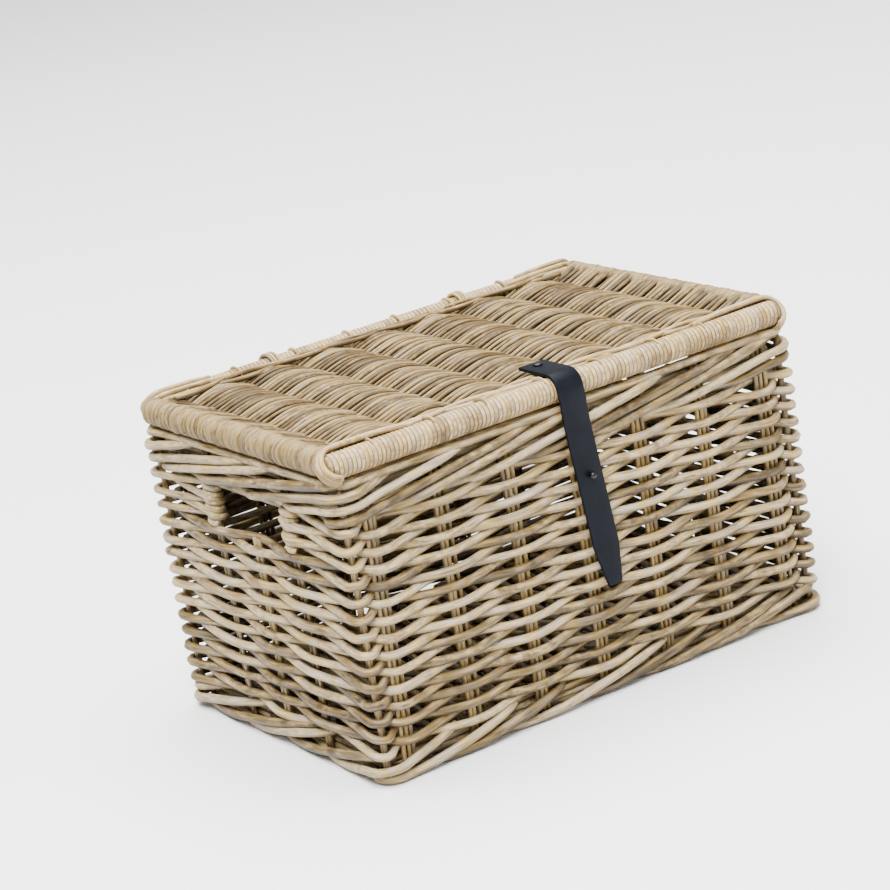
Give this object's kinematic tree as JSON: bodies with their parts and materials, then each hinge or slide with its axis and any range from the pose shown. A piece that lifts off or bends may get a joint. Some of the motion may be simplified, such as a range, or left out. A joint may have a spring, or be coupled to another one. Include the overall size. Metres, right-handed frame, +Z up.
{
  "type": "lidded bicycle basket",
  "caption": "Rectangular woven rattan bicycle basket with hand holes, a hinged woven lid and a leather strap that buttons on a stud.",
  "frame": {"origin": "on the floor under the middle of the basket's bounding box", "axes": "+X along the basket's length, +Z up, and the strap hangs on the -Y face"},
  "size_m": [0.4884, 0.3344, 0.2925],
  "materials": {
    "rattan_strand": "satin",
    "rattan_rod": "satin",
    "wrapped_bar": "satin",
    "leather": "satin",
    "dark_metal": "gloss"
  },
  "bodies": {
    "basket": {"back_hole_weaver": "rattan_strand", "back_stake_1": "rattan_rod", "back_stake_2": "rattan_rod", "back_stake_3": "rattan_rod", "back_stake_4": "rattan_rod", "back_stake_5": "rattan_rod", "back_stake_6": "rattan_rod", "back_stake_7": "rattan_rod", "base_stick_1": "rattan_rod", "base_stick_2": "rattan_rod", "base_stick_3": "rattan_rod", "base_stick_4": "rattan_rod", "base_weaver": "rattan_strand", "corner_post_back_left": "rattan_rod", "corner_post_back_right": "rattan_rod", "corner_post_front_left": "rattan_rod", "corner_post_front_right": "rattan_rod", "foot_ring": "rattan_rod", "foot_wale_1": "rattan_strand", "foot_wale_2": "rattan_strand", "foot_wale_3": "rattan_strand", "front_hole_weaver": "rattan_strand", "front_stake_1": "rattan_rod", "front_stake_2": "rattan_rod", "front_stake_3": "rattan_rod", "front_stake_4": "rattan_rod", "front_stake_5": "rattan_rod", "front_stake_6": "rattan_rod", "front_stake_7": "rattan_rod", "hinge_loop_left": "rattan_strand", "hinge_loop_right": "rattan_strand", "left_stake_1": "rattan_rod", "left_stake_2": "rattan_rod", "left_stake_3": "rattan_rod", "right_stake_1": "rattan_rod", "right_stake_2": "rattan_rod", "right_stake_3": "rattan_rod", "rim_wale_1": "rattan_strand", "rim_wale_2": "rattan_strand", "rim_wale_3": "rattan_strand", "strap_stud": "dark_metal", "wall_weaver_a_lower": "rattan_strand", "wall_weaver_a_upper": "rattan_strand", "wall_weaver_b_lower": "rattan_strand", "wall_weaver_b_upper": "rattan_strand"},
    "lid": {"lid_back_bar": "wrapped_bar", "lid_front_bar": "wrapped_bar", "lid_left_bar": "wrapped_bar", "lid_rib_1": "rattan_rod", "lid_rib_2": "rattan_rod", "lid_rib_3": "rattan_rod", "lid_rib_4": "rattan_rod", "lid_rib_5": "rattan_rod", "lid_rib_6": "rattan_rod", "lid_rib_7": "rattan_rod", "lid_right_bar": "wrapped_bar", "lid_weaver": "rattan_strand", "strap_anchor": "leather", "strap_rivet": "dark_metal"},
    "strap": {"strap_tail": "leather"}
  },
  "joints": [
    {"name": "lid_open", "type": "hinge", "parent": "basket", "child": "lid", "pos_m": [0, 0.1522, 0.27517], "axis": [-1, 0, 0], "range_deg": [0, 110]},
    {"name": "strap_swing", "type": "hinge", "parent": "lid", "child": "strap", "pos_m": [-0.005, -0.16315, 0.27517], "axis": [-1, 0, 0], "range_deg": [0, 110]}
  ]
}
